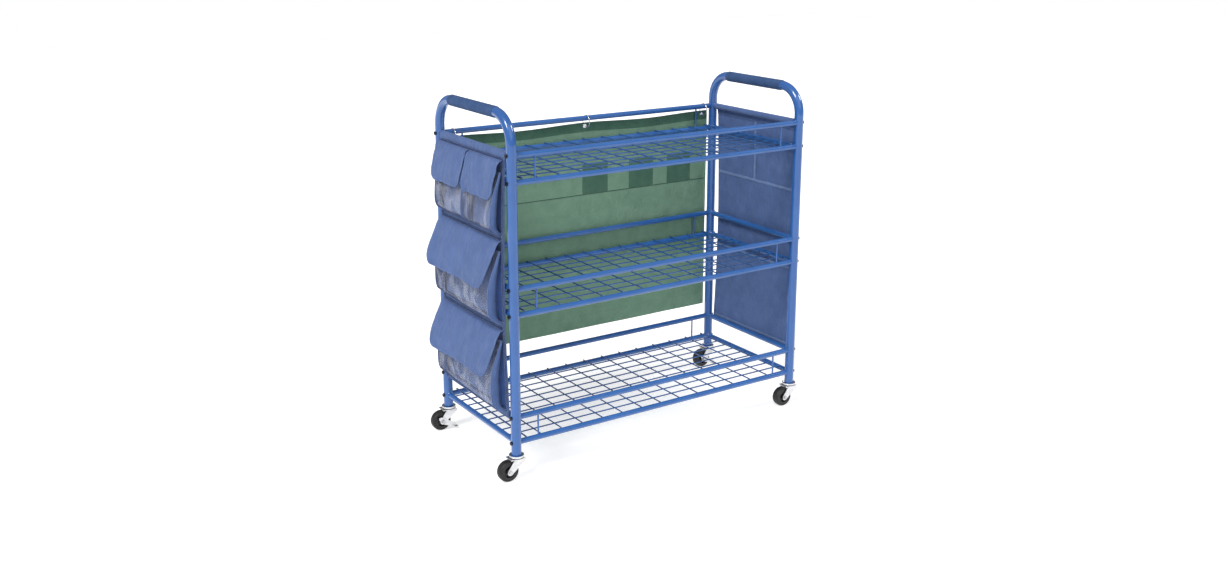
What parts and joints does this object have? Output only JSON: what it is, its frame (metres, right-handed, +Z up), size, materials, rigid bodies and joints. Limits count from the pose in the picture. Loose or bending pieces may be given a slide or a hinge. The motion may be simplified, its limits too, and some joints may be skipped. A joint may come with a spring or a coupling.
{
  "type": "book cart",
  "caption": "Rolling classroom book cart: bent-tube end frames, wire shelves with guard rails, swivel casters, flap-pocket organizers on both ends and a hanging chart.",
  "frame": {"origin": "on the floor, midway between the four legs", "axes": "+X along the cart to the right end, +Y from the open front to the chart at the rear, +Z up"},
  "size_m": [1.138, 0.462, 1.026],
  "materials": {
    "frame_paint": "satin",
    "rail_paint": "satin",
    "mesh_paint": "satin",
    "grip_foam": "matte",
    "bolt_black": "matte",
    "insert_steel": "satin",
    "socket_plastic": "matte",
    "caster_zinc": "satin",
    "tyre_black": "matte",
    "hub_black": "matte",
    "organizer_fabric": "matte",
    "flap_fabric": "matte",
    "snap_black": "satin",
    "chart_fabric": "matte",
    "chart_dark": "matte",
    "chart_metal": "polished"
  },
  "bodies": {
    "cart_frame": {"left_end_tube": "frame_paint", "right_end_tube": "frame_paint", "left_end_rails": "frame_paint", "right_end_rails": "frame_paint", "bottom_lower_rails": "rail_paint", "middle_lower_rails": "rail_paint", "top_lower_rails": "rail_paint", "bottom_guard_rails": "rail_paint", "middle_guard_rails": "rail_paint", "top_guard_rails": "rail_paint", "bottom_mesh": "mesh_paint", "middle_mesh": "mesh_paint", "top_mesh": "mesh_paint", "guard_struts": "rail_paint", "left_grip": "grip_foam", "right_grip": "grip_foam", "left_rail_bolts": "bolt_black", "right_rail_bolts": "bolt_black", "rail_inserts": "insert_steel", "caster_sockets": "socket_plastic", "caster_stems": "caster_zinc", "swivel_balls": "insert_steel", "left_panel": "organizer_fabric", "left_small_pockets": "organizer_fabric", "left_large_pockets": "organizer_fabric", "right_panel": "organizer_fabric", "right_small_pockets": "organizer_fabric", "right_large_pockets": "organizer_fabric", "organizer_snaps": "snap_black"},
    "front_left_caster": {"front_left_fork": "caster_zinc", "front_left_axle": "insert_steel"},
    "front_left_wheel": {"front_left_tyre": "tyre_black", "front_left_hub": "hub_black"},
    "front_right_caster": {"front_right_fork": "caster_zinc", "front_right_axle": "insert_steel"},
    "front_right_wheel": {"front_right_tyre": "tyre_black", "front_right_hub": "hub_black"},
    "rear_left_caster": {"rear_left_fork": "caster_zinc", "rear_left_axle": "insert_steel"},
    "rear_left_wheel": {"rear_left_tyre": "tyre_black", "rear_left_hub": "hub_black"},
    "rear_left_brake": {"rear_left_brake_lever": "caster_zinc"},
    "rear_right_caster": {"rear_right_fork": "caster_zinc", "rear_right_axle": "insert_steel"},
    "rear_right_wheel": {"rear_right_tyre": "tyre_black", "rear_right_hub": "hub_black"},
    "rear_right_brake": {"rear_right_brake_lever": "caster_zinc"},
    "left_flap_small_front": {"left_flap_small_front": "flap_fabric"},
    "left_flap_small_rear": {"left_flap_small_rear": "flap_fabric"},
    "left_flap_large_upper": {"left_flap_large_upper": "flap_fabric"},
    "left_flap_large_lower": {"left_flap_large_lower": "flap_fabric"},
    "right_flap_small_front": {"right_flap_small_front": "flap_fabric"},
    "right_flap_small_rear": {"right_flap_small_rear": "flap_fabric"},
    "right_flap_large_upper": {"right_flap_large_upper": "flap_fabric"},
    "right_flap_large_lower": {"right_flap_large_lower": "flap_fabric"},
    "hanging_chart": {"chart_panel": "chart_fabric", "chart_trim": "chart_dark", "chart_pockets": "chart_fabric", "chart_rings": "chart_metal"}
  },
  "joints": [
    {"name": "front_left_swivel", "type": "hinge", "parent": "cart_frame", "child": "front_left_caster", "pos_m": [-0.495, -0.21, 0.0636], "axis": [0, 0, 1], "continuous": true},
    {"name": "front_left_roll", "type": "hinge", "parent": "front_left_caster", "child": "front_left_wheel", "pos_m": [-0.523, -0.21, 0.03], "axis": [0, 1, 0], "continuous": true},
    {"name": "front_right_swivel", "type": "hinge", "parent": "cart_frame", "child": "front_right_caster", "pos_m": [0.495, -0.21, 0.0636], "axis": [0, 0, 1], "continuous": true},
    {"name": "front_right_roll", "type": "hinge", "parent": "front_right_caster", "child": "front_right_wheel", "pos_m": [0.467, -0.21, 0.03], "axis": [0, 1, 0], "continuous": true},
    {"name": "rear_left_swivel", "type": "hinge", "parent": "cart_frame", "child": "rear_left_caster", "pos_m": [-0.495, 0.21, 0.0636], "axis": [0, 0, 1], "continuous": true},
    {"name": "rear_left_roll", "type": "hinge", "parent": "rear_left_caster", "child": "rear_left_wheel", "pos_m": [-0.523, 0.21, 0.03], "axis": [0, 1, 0], "continuous": true},
    {"name": "rear_left_brake_pedal", "type": "hinge", "parent": "rear_left_caster", "child": "rear_left_brake", "pos_m": [-0.523, 0.21, 0.03], "axis": [0, -1, 0], "range_deg": [0, 22]},
    {"name": "rear_right_swivel", "type": "hinge", "parent": "cart_frame", "child": "rear_right_caster", "pos_m": [0.495, 0.21, 0.0636], "axis": [0, 0, 1], "continuous": true},
    {"name": "rear_right_roll", "type": "hinge", "parent": "rear_right_caster", "child": "rear_right_wheel", "pos_m": [0.467, 0.21, 0.03], "axis": [0, 1, 0], "continuous": true},
    {"name": "rear_right_brake_pedal", "type": "hinge", "parent": "rear_right_caster", "child": "rear_right_brake", "pos_m": [0.467, 0.21, 0.03], "axis": [0, -1, 0], "range_deg": [0, 22]},
    {"name": "left_flap_small_front_lift", "type": "hinge", "parent": "cart_frame", "child": "left_flap_small_front", "pos_m": [-0.5061, 0, 0.89], "axis": [0, 1, 0], "range_deg": [0, 100]},
    {"name": "left_flap_small_rear_lift", "type": "hinge", "parent": "cart_frame", "child": "left_flap_small_rear", "pos_m": [-0.5061, 0, 0.89], "axis": [0, 1, 0], "range_deg": [0, 100]},
    {"name": "left_flap_large_upper_lift", "type": "hinge", "parent": "cart_frame", "child": "left_flap_large_upper", "pos_m": [-0.5061, 0, 0.672], "axis": [0, 1, 0], "range_deg": [0, 80]},
    {"name": "left_flap_large_lower_lift", "type": "hinge", "parent": "cart_frame", "child": "left_flap_large_lower", "pos_m": [-0.5061, 0, 0.422], "axis": [0, 1, 0], "range_deg": [0, 80]},
    {"name": "right_flap_small_front_lift", "type": "hinge", "parent": "cart_frame", "child": "right_flap_small_front", "pos_m": [0.5061, 0, 0.89], "axis": [0, -1, 0], "range_deg": [0, 100]},
    {"name": "right_flap_small_rear_lift", "type": "hinge", "parent": "cart_frame", "child": "right_flap_small_rear", "pos_m": [0.5061, 0, 0.89], "axis": [0, -1, 0], "range_deg": [0, 100]},
    {"name": "right_flap_large_upper_lift", "type": "hinge", "parent": "cart_frame", "child": "right_flap_large_upper", "pos_m": [0.5061, 0, 0.672], "axis": [0, -1, 0], "range_deg": [0, 80]},
    {"name": "right_flap_large_lower_lift", "type": "hinge", "parent": "cart_frame", "child": "right_flap_large_lower", "pos_m": [0.5061, 0, 0.422], "axis": [0, -1, 0], "range_deg": [0, 80]},
    {"name": "chart_swing", "type": "hinge", "parent": "cart_frame", "child": "hanging_chart", "pos_m": [0, 0.21, 0.906], "axis": [1, 0, 0], "range_deg": [0, 65]}
  ]
}
